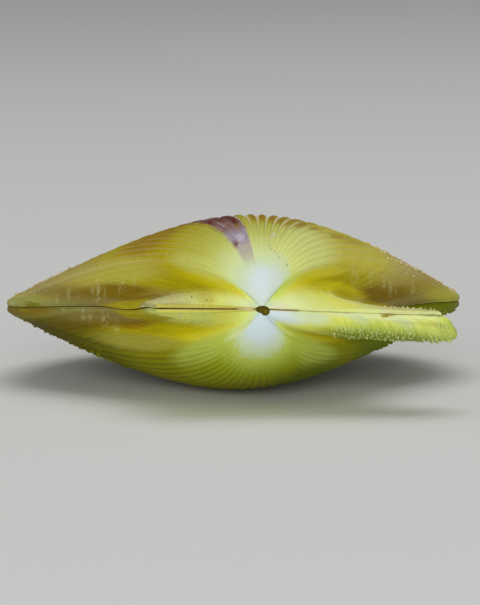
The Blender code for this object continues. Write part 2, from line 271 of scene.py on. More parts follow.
def outline(is_left):
    """Margin from the posterior to the anterior end of the hinge: points, rib number and place on the map."""
    posterior = ear_curve(LEFT_POSTERIOR_EAR if is_left else RIGHT_POSTERIOR_EAR, STEPS_PER_EAR)
    anterior = ear_curve(LEFT_ANTERIOR_EAR if is_left else RIGHT_ANTERIOR_EAR, STEPS_PER_EAR)[::-1]
    arc = disc_arc(RIBS * STEPS_PER_RIB + 1)
    near = between(posterior[-1], arc[0], STEPS_PER_SHOULDER)
    far = between(arc[-1], anterior[0], STEPS_PER_SHOULDER)
    flat = np.vstack([posterior, near, arc, far, anterior])

    flare = np.zeros(len(flat))
    if not is_left:
        angle = np.arctan2(anterior[:, 0], anterior[:, 1])
        from_hinge = np.sin(np.clip(anterior[:, 1] / BYSSAL_FLARE_REACH, 0, 1) * QUARTER)
        from_disc = smooth_step(ANTERIOR_SHOULDER, ANTERIOR_SHOULDER + NOTCH_EASE, angle)
        flare[-len(anterior) :] = BYSSAL_FLARE * from_hinge * from_disc

    side_count = STEPS_PER_EAR + STEPS_PER_SHOULDER
    turn = np.concatenate([np.zeros(side_count), np.linspace(0, RIBS, len(arc)), np.full(side_count, RIBS)])
    ear = np.linspace(0, EAR_U, STEPS_PER_EAR)
    flank = between(EAR_U, DISC_U[0], STEPS_PER_SHOULDER).ravel()
    across = np.concatenate([ear, flank, np.linspace(*DISC_U, len(arc)), 1 - flank[::-1], 1 - ear[::-1]])

    # Round off the corners between ear, flank and disc.
    points = np.column_stack([flat, flare])
    from_side = np.minimum(across, 1 - across)
    off_ear = smooth_step(EAR_U * 0.55, EAR_U * 0.9, from_side)
    loose = off_ear * smooth_step(DISC_U[0] + 0.05, DISC_U[0], from_side)
    for _ in range(OUTLINE_EASING):
        middle = (points[:-2] + 2 * points[1:-1] + points[2:]) / 4
        points[1:-1] += loose[1:-1, None] * (middle - points[1:-1])
    return points, turn, across


def grow(points, stages, swell):
    """Sweep an outline through its growth stages: shrunk to each stage and turned about the hinge."""
    angle = np.arctan2(points[:, 0], points[:, 1])
    radius = np.hypot(points[:, 0], points[:, 1])
    shoulder = np.where(angle < 0, POSTERIOR_SHOULDER, ANTERIOR_SHOULDER)
    size = np.abs(angle)
    rows = []
    for stage in stages:
        narrow = 1 - FAN_SPREAD * (1 - stage)
        on_disc = size * narrow
        on_ear = QUARTER - (QUARTER - size) * (QUARTER - shoulder * narrow) / (QUARTER - shoulder)
        fan = np.where(size <= shoulder + SAME_ANGLE, on_disc, on_ear) * np.sign(angle)
        x = radius * np.sin(fan)
        y = radius * np.cos(fan)
        z = points[:, 2]
        turn = swell * math.log(1 / stage)
        cos, sin = math.cos(turn), math.sin(turn)
        rows.append(np.stack([x, y * cos - z * sin, y * sin + z * cos], axis=1) * stage)
    return np.array(rows)


def lean(grid, is_left):
    """Deepen the posterior side of the right valve a little, and make the anterior side shallower."""
    if not is_left:
        grid[..., 2] *= 1 - RIGHT_LEAN * grid[..., 0]
    return grid


def eased(normal):
    """Normals averaged with their neighbours, so that the skin doesn't cross itself in the folds."""
    for _ in range(NORMAL_EASING):
        wide = np.concatenate([normal[:, :1], normal, normal[:, -1:]], axis=1)
        normal = wide[:, :-2] + 2 * wide[:, 1:-1] + wide[:, 2:]
        normal /= np.linalg.norm(normal, axis=2, keepdims=True)
    return normal


def growth_stages():
    """Stages from the beak to the margin, closer together at the beak and over the rounded lip."""
    body = np.linspace(math.sqrt(BEAK_STAGE), math.sqrt(LIP_STAGE), GROWTH_STAGES) ** 2
    lip = 1 - (1 - LIP_STAGE) * (1 - np.linspace(0, 1, LIP_STAGES + 1)[1:]) ** LIP_EASING
    return np.concatenate([body, lip])


def outer_surface(is_left):
    """Outside of a valve: points, place across the map and growth stage, one row a stage."""
    points, turn, across = outline(is_left)
    stages = growth_stages()
    grid = lean(grow(points, stages, LEFT_SWELL if is_left else RIGHT_SWELL), is_left)
    on_ear = smooth_step(DISC_U[0], EAR_U * 0.6, np.minimum(across, 1 - across))
    if is_left:
        grid[..., 2] *= 1 - LEFT_EAR_DIP * on_ear * smooth_step(*LEFT_EAR_DIP_REACH, grid[..., 0])
    normal = np.cross(np.gradient(grid, axis=1), np.gradient(grid, axis=0))
    normal = eased(normal / np.linalg.norm(normal, axis=2, keepdims=True))

    stage = stages[:, None]
    pitch = stage * np.hypot(points[:, 0], points[:, 1]) * (POSTERIOR_SHOULDER + ANTERIOR_SHOULDER) / RIBS
    height = RIB_HEIGHT * (1 - np.exp(-RIB_HEIGHT_PER_PITCH * pitch / RIB_HEIGHT))
    side = np.abs(turn / RIBS * 2 - 1)
    soft = smooth_step(*SOFT_SIDES, side) if is_left else np.ones(len(side))
    height = height * (1 if is_left else RIGHT_RIB_HEIGHT)
    roundness = RIB_ROUNDNESS + (SOFT_ROUNDNESS - RIB_ROUNDNESS) * soft
    crest = np.abs(np.sin(math.pi * turn)) ** roundness * (1 - RIB_SIDE_DROP * side**2)
    from_groove = np.abs(turn - np.rint(turn))
    thread = THREAD_HEIGHT * np.exp(-((from_groove / THREAD_HALF_WIDTH) ** 2))
    thread *= smooth_step(EAR_U, DISC_U[0], np.minimum(across, 1 - across)) * (1 - soft)
    riblet = np.zeros(len(points))
    wave = 0.5 - 0.5 * np.cos(np.linspace(0, 2 * math.pi * EAR_RIBLETS, STEPS_PER_EAR))
    riblet[:STEPS_PER_EAR] = wave
    riblet[-STEPS_PER_EAR:] = wave[::-1]

    offset = SKIN_OFFSET * np.minimum(stage / FULL_OFFSET_STAGE, 1)
    strength = smooth_step(*RIB_STAGES, stage)
    groove = GROOVE_DEPTH * (1 - crest) * (1 - on_ear) * np.minimum(pitch, 1) * (1 - soft)
    offset = offset + strength * (height * crest - groove + thread)
    offset = offset + EAR_RIBLET_HEIGHT * smooth_step(*EAR_RIBLET_STAGES, stage) * riblet
    drift, speed = GROWTH_STEP_DRIFT
    step = 0.5 + 0.5 * np.sin(2 * math.pi * (stage * GROWTH_STEPS + drift * np.sin(stage * speed)))
    offset = offset - GROWTH_STEP_HEIGHT * step * smooth_step(*GROWTH_STEP_STAGES, stage)
    lip = np.clip((stage - LIP_STAGE) / (1 - LIP_STAGE), 0, 1)
    offset = offset * np.sqrt(np.clip(1 - lip**2, 0, 1))

    surface = grid + normal * offset[:, :, None]
    shape = surface.shape[:2]
    return surface, np.broadcast_to(across, shape), np.broadcast_to(stage, shape)


def cavity_surface(is_left):
    """Closed rows of the hollow, from its mouth where the valves meet to its deepest stage near the beak."""
    arc = disc_arc(CAVITY_ARC_STEPS)
    first = arc[0] / np.linalg.norm(arc[0]) * CAVITY_HINGE_SIDE
    last = arc[-1] / np.linalg.norm(arc[-1]) * CAVITY_HINGE_SIDE
    near = between(first, arc[0], CAVITY_SIDE_STEPS)
    far = between(arc[-1], last, CAVITY_SIDE_STEPS)
    loop = np.vstack([first[None], near, arc, far, last[None]])
    points = np.column_stack([loop, np.zeros(len(loop))])
    stages = np.linspace(1, CAVITY_DEEPEST_STAGE, CAVITY_STAGES)
    grid = lean(grow(points, stages, LEFT_SWELL if is_left else RIGHT_SWELL), is_left)
    centre = np.array([*CAVITY_CENTRE, 0])
    return centre + (grid - centre) * CAVITY_SCALE


def rest(points):
    """Places in the valves' frame, taken to the resting shell in metres."""
    cos, sin = math.cos(REST_PITCH), math.sin(REST_PITCH)
    x = HINGE_PLACE[0] + points[..., 0]
    y = HINGE_PLACE[1] + points[..., 1] * cos + points[..., 2] * sin
    z = HINGE_PLACE[2] - points[..., 1] * sin + points[..., 2] * cos
    return np.stack([x, y, z], axis=-1) * MM


def rest_height(points):
    """Height of each point above the surface that the shell lies on."""
    return HINGE_PLACE[2] - points[..., 1] * math.sin(REST_PITCH) + points[..., 2] * math.cos(REST_PITCH)


def press_flat(points):
    """Wear the crests of the lowest ribs down to the surface that they stand on."""
    below = np.minimum(rest_height(points), 0)
    up = np.array([0, -math.sin(REST_PITCH), math.cos(REST_PITCH)])
    return points - below[..., None] * up


def settle(points):
    """Small bends that both valves share, the hole between the beaks and the notch between the ears."""
    points = np.array(points)
    for (x, y), reach, drop in SINUSES:
        away = np.hypot(points[..., 0] - x, points[..., 1] - y) / reach
        points[..., 2] -= drop * np.exp(-(away**2)) * np.exp(-((points[..., 2] / SINUS_DEPTH) ** 2))
    slope = np.where(points[..., 0] < 0, *HINGE_SLOPES)
    near = (1 - smooth_step(*SLOPE_FADE, points[..., 1])) * np.exp(-((points[..., 2] / SLOPE_DEPTH) ** 2))
    points[..., 2] -= slope * points[..., 0] * near
    push = np.zeros(points.shape[:-1])
    for (x, z), (half_width, half_height), depth, _ in HOLLOWS:
        inside = 1 - ((points[..., 0] - x) / half_width) ** 2 - ((points[..., 2] - z) / half_height) ** 2
        push = np.maximum(push, depth * np.sqrt(np.clip(inside, 0, 1)))
    points[..., 1] += push * (points[..., 1] < HOLLOW_REACH)
    return points


def clear_selection():
    """Leave nothing selected, because the frame's own nodes come in selected."""
    bpy.ops.object.select_all(action="DESELECT")


def placed_grid(name, points, values):
    """A grid primitive with its vertices moved to the given places, and one attribute for each value."""
    rows, columns = points.shape[:2]
    clear_selection()
    bpy.ops.mesh.primitive_grid_add(x_subdivisions=columns - 1, y_subdivisions=rows - 1, size=2)
    sheet = bpy.context.object
    sheet.name = sheet.data.name = name
    start = np.empty(len(sheet.data.vertices) * 3)
    sheet.data.vertices.foreach_get("co", start)
    start = start.reshape(-1, 3)
    column = np.rint((start[:, 0] + 1) / 2 * (columns - 1)).astype(int)
    row = np.rint((start[:, 1] + 1) / 2 * (rows - 1)).astype(int)
    sheet.data.vertices.foreach_set("co", points[row, column].ravel())
    for key, value in values.items():
        mark_points(sheet.data, key, value[row, column])
    return sheet


def mark_points(mesh, key, values):
    """Keep one value for each point as an attribute."""
    attribute = mesh.attributes.new(key, "FLOAT", "POINT")
    attribute.data.foreach_set("value", values.astype(np.float32))


def select_edges(mesh, wanted):
    """In edit mode, select just the edges that the test picks."""
    bpy.ops.mesh.select_mode(type="EDGE")
    bpy.ops.mesh.select_all(action="DESELECT")
    bm = bmesh.from_edit_mesh(mesh)
    for edge in bm.edges:
        if wanted(edge):
            edge.select = True
    bmesh.update_edit_mesh(mesh)


def face_outwards():
    """Turn every face of the active piece outwards."""
    bpy.ops.object.mode_set(mode="EDIT")
    bpy.ops.mesh.select_all(action="SELECT")
    bpy.ops.mesh.normals_make_consistent(inside=False)
    bpy.ops.object.mode_set(mode="OBJECT")


def marks_of(mesh, key):
    """The values of a point attribute."""
    values = np.empty(len(mesh.attributes[key].data), np.float32)
    mesh.attributes[key].data.foreach_get("value", values)
    return values


def places_of(mesh):
    """The places of a mesh's points."""
    values = np.empty(len(mesh.vertices) * 3)
    mesh.vertices.foreach_get("co", values)
    return values.reshape(-1, 3)


def draw_down_rim(valve, side):
    """Extrude the hinge side and the margin to where the valves meet, and close the tip of the beak."""
    mesh = valve.data
    first_stage = marks_of(mesh, "stage").min()
    bpy.ops.object.mode_set(mode="EDIT")
    bm = bmesh.from_edit_mesh(mesh)
    stage = bm.verts.layers.float["stage"]
    select_edges(mesh, lambda edge: edge.is_boundary and max(v[stage] for v in edge.verts) > first_stage)
    bpy.ops.mesh.extrude_region_move()
    bm = bmesh.from_edit_mesh(mesh)
    for vert in bm.verts:
        if vert.select:
            at_hinge = HINGE_GAP if vert.co.x < CLOSED_HINGE_START else CLOSED_HINGE_GAP
            gap = at_hinge if vert.co.y < HINGE_SIDE else MARGIN_GAP
            wall = EDGE_WALL + (EAR_WALL - EDGE_WALL) * smooth_step(*EAR_WALL_REACH, vert.co.x)
            vert.co.z = side * max(gap / 2, abs(vert.co.z) - wall)
            vert.co.y = max(vert.co.y, 0)

    stage = bm.verts.layers.float["stage"]
    tip = [edge for edge in bm.edges if edge.is_boundary and all(v[stage] == first_stage for v in edge.verts)]
    ends = [v for edge in tip for v in edge.verts if sum(e in tip for e in v.link_edges) == 1]
    chain = [min(ends, key=lambda vert: vert.co.x)]
    while tip:
        step = next(edge for edge in chain[-1].link_edges if edge in tip)
        tip.remove(step)
        chain.append(step.other_vert(chain[-1]))
    bm.faces.new(chain)
    bmesh.update_edit_mesh(mesh)
    bpy.ops.object.mode_set(mode="OBJECT")


def valve_shell(name, is_left):
    """One valve as a closed dish: ribbed outside, rounded lip, flat where it meets the other, and hollow."""
    side = 1 if is_left else -1
    flip = np.array([1, 1, side])
    shift = np.array([0, 0, side * VALVE_GAP / 2])
    surface, across, stage = outer_surface(is_left)
    valve = placed_grid(name, surface * flip + shift, {"across": across, "stage": stage})
    draw_down_rim(valve, side)

    # The hollow: a second grid rolled into a bowl, with its seam merged and its bottom closed.
    hollow = cavity_surface(is_left) * flip
    hollow[..., 2] += side * MARGIN_GAP / 2
    hollow = np.concatenate([hollow, hollow[:, :1]], axis=1)
    mark = np.full(hollow.shape[:2], CAVITY_MARK)
    bowl = placed_grid(name + "_bowl", hollow, {"across": np.full_like(mark, 0.5), "stage": mark})
    bottom = {Vector(point).freeze() for point in hollow[-1]}
    bpy.ops.object.mode_set(mode="EDIT")
    bpy.ops.mesh.select_all(action="SELECT")
    bpy.ops.mesh.remove_doubles(threshold=SAME_PLACE)
    select_edges(
        bowl.data, lambda edge: edge.is_boundary and all(v.co.copy().freeze() in bottom for v in edge.verts)
    )
    bpy.ops.mesh.edge_face_add()
    bpy.ops.object.mode_set(mode="OBJECT")

    clear_selection()
    bowl.select_set(True)
    valve.select_set(True)
    bpy.context.view_layer.objects.active = valve
    bpy.ops.object.join()
    bpy.ops.object.mode_set(mode="EDIT")
    select_edges(valve.data, lambda edge: edge.is_boundary)
    bpy.ops.mesh.fill(use_beauty=True)
    face_outwards()

    points = settle(places_of(valve.data))
    if not is_left:
        points = press_flat(points)
    valve.data.vertices.foreach_set("co", rest(points).ravel())
    lay_map(valve.data)
    bpy.ops.object.shade_smooth()
    bpy.ops.object.shade_smooth_by_angle(angle=VALVE_SMOOTHING)
    return valve


def lay_map(mesh):
    """UV map: U is the place across the ribs and V the growth stage. Faces of the hollow get material 2."""
    across, stage = marks_of(mesh, "across"), marks_of(mesh, "stage")
    corners = np.empty(len(mesh.loops), np.int32)
    mesh.loops.foreach_get("vertex_index", corners)
    layer = mesh.uv_layers.active or mesh.uv_layers.new(name="growth")
    layer.name = "growth"
    layer.data.foreach_set("uv", np.column_stack([across, np.minimum(stage, 1)])[corners].ravel())
    owner = np.repeat(np.arange(len(mesh.polygons)), [len(p.vertices) for p in mesh.polygons])
    inner = np.zeros(len(mesh.polygons), bool)
    np.logical_or.at(inner, owner, stage[corners] > (1 + CAVITY_MARK) / 2)
    mesh.polygons.foreach_set("material_index", inner.astype(np.int32))
    mesh.update()


def row_of_scales(surface, across, stage, column, start, spacing, size, chance):
    """Scales along one column of the surface: point, three axes, size, and the place on the growth map."""
    line = surface[:, column]
    rows = np.flatnonzero((stage[:, 0] >= start) & (stage[:, 0] <= SCALE_END))
    if len(rows) < 4:
        return []
    run = np.concatenate([[0], np.cumsum(np.linalg.norm(np.diff(line[rows], axis=0), axis=1))])
    found = []
    place = spacing * chance.uniform(*SCALE_FIRST)
    while place < run[-1]:
        row = rows[min(np.searchsorted(run, place), len(rows) - 2)]
        growth = surface[row + 1, column] - surface[row - 1, column]
        beside = surface[row, min(column + 2, surface.shape[1] - 1)] - surface[row, column - 2]
        growth /= np.linalg.norm(growth)
        normal = np.cross(beside, growth)
        normal /= np.linalg.norm(normal)
        beside = np.cross(growth, normal)
        worn = size * chance.uniform(*SCALE_WEAR)
        if chance.random() > SCALE_LOST:
            on_map = across[row, column], stage[row, 0]
            found.append((surface[row, column], beside, growth, normal, worn, on_map))
        place += spacing * chance.uniform(*SCALE_STRIDE)
    return found


def scale_places(is_left):
    """Every scale of a valve, on its rib crests and on its ears."""
    surface, across, stage = outer_surface(is_left)
    chance = np.random.default_rng(LEFT_CHANCE if is_left else RIGHT_CHANCE)
    first_rib = STEPS_PER_EAR + STEPS_PER_SHOULDER
    found = []
    for rib in range(RIBS):
        for offset, start, spacing, size in SCALE_ROWS:
            column = first_rib + int(round((rib + 0.5 + offset) * STEPS_PER_RIB))
            start = max(start, POSTERIOR_START) if is_left and rib < RIBS / 2 else start
            size = size * (OUTER_SCALE_SIZE if rib in OUTER_RIBS and (is_left or rib < RIBS / 2) else 1)
            found += row_of_scales(surface, across, stage, column, start, spacing, size, chance)
    last = surface.shape[1] - 1
    for place, start, spacing, size in LEFT_EAR_ROWS if is_left else RIGHT_EAR_ROWS:
        column = last - int(round(place * (STEPS_PER_EAR - 1)))
        found += row_of_scales(surface, across, stage, column, start, spacing, size, chance)
    for place, start, spacing, size in POSTERIOR_EAR_ROWS:
        column = 2 + int(round(place * (STEPS_PER_EAR - 4)))
        found += row_of_scales(surface, across, stage, column, start, spacing, size, chance)
    return found


def valve_scales(name, is_left):
    """All scales of a valve: one arched lamella, copied by an array, and each copy moved to its place."""
    side = 1 if is_left else -1
    found = scale_places(is_left)
    if not is_left:
        places = settle(np.array([place[0] for place in found]) * (1, 1, -1) - (0, 0, VALVE_GAP / 2))
        found = [place for place, height in zip(found, rest_height(places)) if height > SCALE_FLOOR]

    clear_selection()
    bpy.ops.mesh.primitive_grid_add(x_subdivisions=4, y_subdivisions=2, size=2)
    scales = bpy.context.object
    scales.name = scales.data.name = name
    bpy.ops.object.mode_set(mode="EDIT")
    bpy.ops.mesh.select_all(action="SELECT")
    bpy.ops.mesh.solidify(thickness=SCALE_THICKNESS)
    face_outwards()
    flat = places_of(scales.data)
    across, up, back = flat[:, 0], (flat[:, 1] + 1) / 2, flat[:, 2]
    count = len(flat)
    copies = scales.modifiers.new("copies", "ARRAY")
    copies.fit_type = "FIXED_COUNT"
    copies.count = len(found)
    copies.use_relative_offset = False
    bpy.ops.object.modifier_apply(modifier=copies.name)

    width = across * SCALE_WIDTH / 2 * (1 - SCALE_TAPER * up)
    rise = SCALE_HEIGHT * up * (1 - SCALE_ARCH * across**2)
    reach = SCALE_HEIGHT * (SCALE_LEAN * up - SCALE_CURL * across**2 * (1 - up)) + back
    points = np.empty((len(found), count, 3))
    marks = np.empty((len(found), 2))
    for index, (spot, beside, growth, normal, size, on_map) in enumerate(found):
        shape = width[:, None] * beside + rise[:, None] * normal + reach[:, None] * growth
        points[index] = spot + size * shape - SCALE_SINK * normal
        marks[index] = on_map
    points = points.reshape(-1, 3) * (1, 1, side) + (0, 0, side * VALVE_GAP / 2)
    scales.data.vertices.foreach_set("co", rest(settle(points)).ravel())
    mark_points(scales.data, "tip", np.tile(up, len(found)))
    for key, values in zip(("across", "stage"), marks.T):
        mark_points(scales.data, key, np.repeat(values, count))
    lay_map(scales.data)
    face_outwards()
    bpy.ops.object.shade_smooth_by_angle(angle=SMALL_PIECE_SMOOTHING)
    return scales


def ligament_strip(name):
    """The ligament: a flat tube along the hinge line, set back as the floor of the hole between the beaks."""
    course = np.array([spot[:3] for spot in LIGAMENT_COURSE])
    x = np.linspace(course[0, 0], course[-1, 0], LIGAMENT_STEPS)
    half = np.interp(x, course[:, 0], course[:, 1])
    half = half * (1 + LIGAMENT_RAGGED * np.sin(x * LIGAMENT_WAVES[0]) * np.sin(x * LIGAMENT_WAVES[1] + 1))
    front = np.interp(x, course[:, 0], course[:, 2])
    angle = np.linspace(0, 2 * math.pi, LIGAMENT_SIDES + 1)
    y = front[:, None] + LIGAMENT_DEPTH / 2 * (1 - np.cos(angle))
    z = half[:, None] * np.sin(angle)
    points = np.stack([np.broadcast_to(x[:, None], y.shape), y, z], axis=-1)
    along = np.broadcast_to(((x - x[0]) / (x[-1] - x[0]))[:, None], y.shape)
    around = np.broadcast_to(np.abs(angle / math.pi - 1), y.shape)
    strip = placed_grid(name, rest(settle(points)), {"across": along, "stage": around})
    bpy.ops.object.mode_set(mode="EDIT")
    bpy.ops.mesh.select_all(action="SELECT")
    bpy.ops.mesh.remove_doubles(threshold=SAME_PLACE * MM)
    for end in (x[0], x[-1]):
        reach = (HINGE_PLACE[0] + end) * MM
        select_edges(strip.data, lambda edge: all(abs(v.co.x - reach) < SAME_PLACE * MM for v in edge.verts))
        bpy.ops.mesh.edge_face_add()
    face_outwards()
    lay_map(strip.data)
    bpy.ops.object.shade_smooth_by_angle(angle=SMALL_PIECE_SMOOTHING)
    return strip


def srgb(code):
    """An sRGB hex colour as the linear colour that a shader takes."""
    linear = []
    for start in (1, 3, 5):
        value = int(code[start : start + 2], 16) / 255
        linear.append(value / 12.92 if value <= 0.04045 else ((value + 0.055) / 1.055) ** 2.4)
    return (*linear, 1)


def fill(tree, node, inputs):
    """Give a node's inputs their values or links."""
    for key, value in dict(inputs).items():
        if isinstance(value, bpy.types.NodeSocket):
            tree.links.new(value, node.inputs[key])
        else:
            node.inputs[key].default_value = value


def add(tree, kind, inputs=(), stops=(), gives=0, **settings):
    """Add a shader node with its settings, its ramp's stops, and its inputs' values or links."""
    made = tree.nodes.new("ShaderNode" + kind)
    for key, value in settings.items():
        setattr(made, key, value)
    for place, tone in stops:
        ramp = made.color_ramp.elements
        stop = ramp[0] if place == stops[0][0] else ramp[-1] if place == stops[-1][0] else ramp.new(place)
        stop.position = place
        stop.color = srgb(PAINT[tone]) if isinstance(tone, str) else (tone, tone, tone, 1)
    fill(tree, made, inputs)
    return made.outputs[gives]


def new_material(name):
    """An empty material: its node tree and its shader."""
    material = bpy.data.materials.new(name)
    material.use_nodes = True
    tree = material.node_tree
    return material, tree, tree.nodes["Principled BSDF"]


# The shell's colours by name, as sRGB.
PAINT = {
    "milk": "#CBD6C9", "blue_milk": "#C7D5D9", "celery": "#C6D5AC", "pale_lime": "#CBD695",
    "pale_lemon": "#D2D77E", "cream_lemon": "#D6DD9A", "lemon": "#BFC160", "bright_lemon": "#DCDC5C",
    "soft_gold": "#D6CE36", "bright_gold": "#C6BB08", "gold": "#AA9D04", "old_gold": "#A38C00",
    "citron": "#B5B340", "corn": "#C3B944", "ochre": "#967600", "umber": "#7C6408", "taupe": "#85773C",
    "straw": "#AD9F54", "hay": "#B4AD48", "dry_moss": "#A19C3C", "khaki": "#9C8A34",
    "bright_lime": "#DCE67A", "glow": "#EDF280", "lime": "#B7C554", "lichen": "#8F9150",
    "fresh_lime": "#CBDA66", "parchment": "#C4BD72", "leaf": "#9AA418", "olive": "#8E8C06",
    "fern": "#707C00", "moss": "#727200", "dark_moss": "#5C5204", "thread": "#E2D0AE",
    "pale_thread": "#D6D894", "ash": "#B0A697", "lilac": "#9B8C9C", "pale_lilac": "#BBB0C0",
    "mauve": "#86605C", "maroon": "#5C120A", "rust": "#7C4414", "bone": "#D9D9A0", "speck": "#4E4A22",
    "hole": "#6E6414", "bark": "#8A5F22", "shell_pink": "#D2B99A", "tan_pink": "#C4A07E",
    "tan_red": "#B8763E", "rose": "#D6C0AE", "ivory": "#E5E0D0",
}

# Ground colours by growth stage, each with the ribs where it fades in over the ones before it. The first of a
# valve fades in outside the map, and so covers it all.
EVERYWHERE = (-9, -8)
UPPER_DISC = (
    (0.0, "milk"), (0.05, "milk"), (0.09, "celery"), (0.125, "pale_lime"), (0.2, "lemon"), (0.27, "citron"),
    (0.38, "gold"), (0.48, "old_gold"), (0.6, "gold"), (0.76, "khaki"), (0.88, "taupe"), (1.0, "citron"),
)
UPPER_FRONT = (
    (0.0, "milk"), (0.085, "milk"), (0.115, "celery"), (0.16, "pale_lemon"), (0.3, "pale_lemon"),
    (0.42, "corn"), (0.6, "corn"), (0.72, "straw"), (0.86, "khaki"), (1.0, "citron"),
)
UPPER_FLANK = (
    (0.05, "celery"), (0.11, "bright_lime"), (0.17, "soft_gold"), (0.26, "soft_gold"), (0.35, "bright_gold"),
    (0.46, "gold"), (0.6, "gold"), (0.75, "khaki"), (0.85, "umber"), (0.94, "taupe"), (1.0, "taupe"),
)
UPPER_EAR = (
    (0.05, "celery"), (0.18, "cream_lemon"), (0.3, "pale_lemon"), (0.48, "bright_lemon"),
    (0.62, "pale_lemon"), (0.74, "parchment"), (1.0, "parchment"),
)
UPPER_GROUNDS = (
    (UPPER_DISC, EVERYWHERE),
    (UPPER_FRONT, (15, 20)),
    (UPPER_FLANK, (0.8, -0.9), (25.6, 27.0)),
    (UPPER_EAR, (-2.2, -4.2), (28.0, 29.5)),
)
# Painted shade in part: the dark moss stops towards the margin, where the lower side turns from the light.
LOWER_DISC = (
    (0.0, "blue_milk"), (0.056, "blue_milk"), (0.09, "celery"), (0.128, "lime"), (0.19, "leaf"),
    (0.28, "olive"), (0.48, "olive"), (0.6, "moss"), (0.8, "dark_moss"), (0.9, "dark_moss"), (1.0, "olive"),
)
LOWER_FLANK = (
    (0.05, "blue_milk"), (0.1, "bright_lime"), (0.22, "bright_lemon"), (0.32, "soft_gold"),
    (0.45, "bright_gold"), (0.6, "gold"), (0.72, "gold"), (0.8, "umber"), (0.9, "taupe"), (1.0, "taupe"),
)
LOWER_EAR = (
    (0.05, "celery"), (0.15, "bright_lime"), (0.35, "bright_lemon"), (0.55, "bright_lime"), (0.68, "glow"),
    (0.9, "glow"), (1.0, "bright_lime"),
)
LOWER_GROUNDS = (
    (LOWER_DISC, EVERYWHERE),
    (LOWER_FLANK, (0.6, -0.9), (25.6, 26.8)),
    (LOWER_EAR, (-2.0, -3.4), (27.6, 29.0)),
)

# The purple ray by growth stage.
RAY = (
    (0.08, "celery"), (0.115, "ash"), (0.15, "ash"), (0.18, "lilac"), (0.215, "lilac"), (0.25, "mauve"),
    (0.31, "mauve"), (0.35, "maroon"), (0.42, "mauve"), (0.46, "maroon"), (0.75, "rust"), (1.0, "rust"),
)

# Patches of colour: paint, rib, hundredths of growth, half width in ribs, half length in hundredths and
# strength.
UPPER_PATCHES = (
    ("ochre", 5.4, 49, 4.5, 14, 1.0),
    ("pale_lemon", 1.0, 24, 2.6, 16, 0.35),
    ("hay", 0.6, 60, 1.9, 26, 0.85),
    ("straw", 1.8, 78, 2.0, 20, 0.5),
    ("blue_milk", 13.5, 5.0, 9.0, 5.5, 0.75),
    # Partly the shell's own lime, partly painted light that lifts the shade of the fold between disc and
    # flank.
    ("fresh_lime", 27.3, 14, 2.7, 12, 0.9),
    ("thread", 31.0, 69, 0.9, 5, 0.45),
    ("thread", 30.7, 84, 0.5, 5, 0.35),
    ("ochre", 18.9, 34, 1.3, 6, 0.5),
    ("ochre", 22.4, 50, 1.5, 8, 0.35),
    ("ochre", 18.6, 36, 0.7, 5.0, 0.6),
    ("ochre", 20.1, 38, 0.8, 5.0, 0.6),
    ("ochre", 21.7, 43, 1.1, 6.0, 0.55),
    ("pale_lemon", 19.4, 33, 0.5, 4.5, 0.5),
    ("celery", 16.6, 20.4, 0.8, 1.8, 0.6),
    ("pale_lilac", 16.3, 19.4, 0.35, 0.9, 0.7),
    ("mauve", 16.3, 15.6, 0.22, 0.45, 0.6),
    ("mauve", 16.9, 14.8, 0.25, 0.45, 0.6),
    ("mauve", 17.6, 14.2, 0.25, 0.45, 0.6),
    ("mauve", 18.4, 13.7, 0.25, 0.4, 0.6),
    ("mauve", 19.3, 13.3, 0.25, 0.4, 0.5),
    ("speck", 22.5, 13.4, 0.35, 0.4, 0.7),
    ("umber", 27.4, 79, 1.1, 15, 0.9),
    ("old_gold", 28.7, 94, 0.8, 14, 1.0),
    ("soft_gold", 26.7, 37, 1.1, 17, 0.75),
    ("bright_gold", 28.2, 60, 0.9, 26, 0.9),
    ("gold", 28.9, 68, 1.0, 15, 0.95),
    # Painted shade: the dark line above the strip at the end of the anterior ear.
    ("olive", 29.2, 89, 1.0, 14, 1.0),
    ("thread", 30.6, 9, 1.2, 8, 0.35),
    ("umber", -1.1, 76, 1.1, 12, 0.95),
    ("straw", -4.0, 50, 1.3, 14, 0.5),
    ("gold", -2.3, 97, 0.8, 14, 0.85),
    ("lichen", 0.8, 99, 2.6, 6, 0.7),
    ("moss", 0.12, 99.6, 0.25, 1.8, 0.8),
    ("olive", 1.2, 97.2, 0.35, 1.0, 0.5),
    ("celery", 0.68, 100, 0.2, 0.9, 0.5),
    ("parchment", 0.3, 96.9, 0.1, 0.9, 0.4),
    ("speck", -2.7, 74.4, 0.14, 0.8, 0.9),
    ("speck", -3.8, 61.4, 0.16, 0.9, 0.8),
    ("speck", -4.3, 49.4, 0.14, 0.8, 0.8),
    ("speck", -3.4, 32.3, 0.12, 0.6, 0.8),
    ("speck", -4.4, 45.5, 0.14, 0.6, 0.7),
)
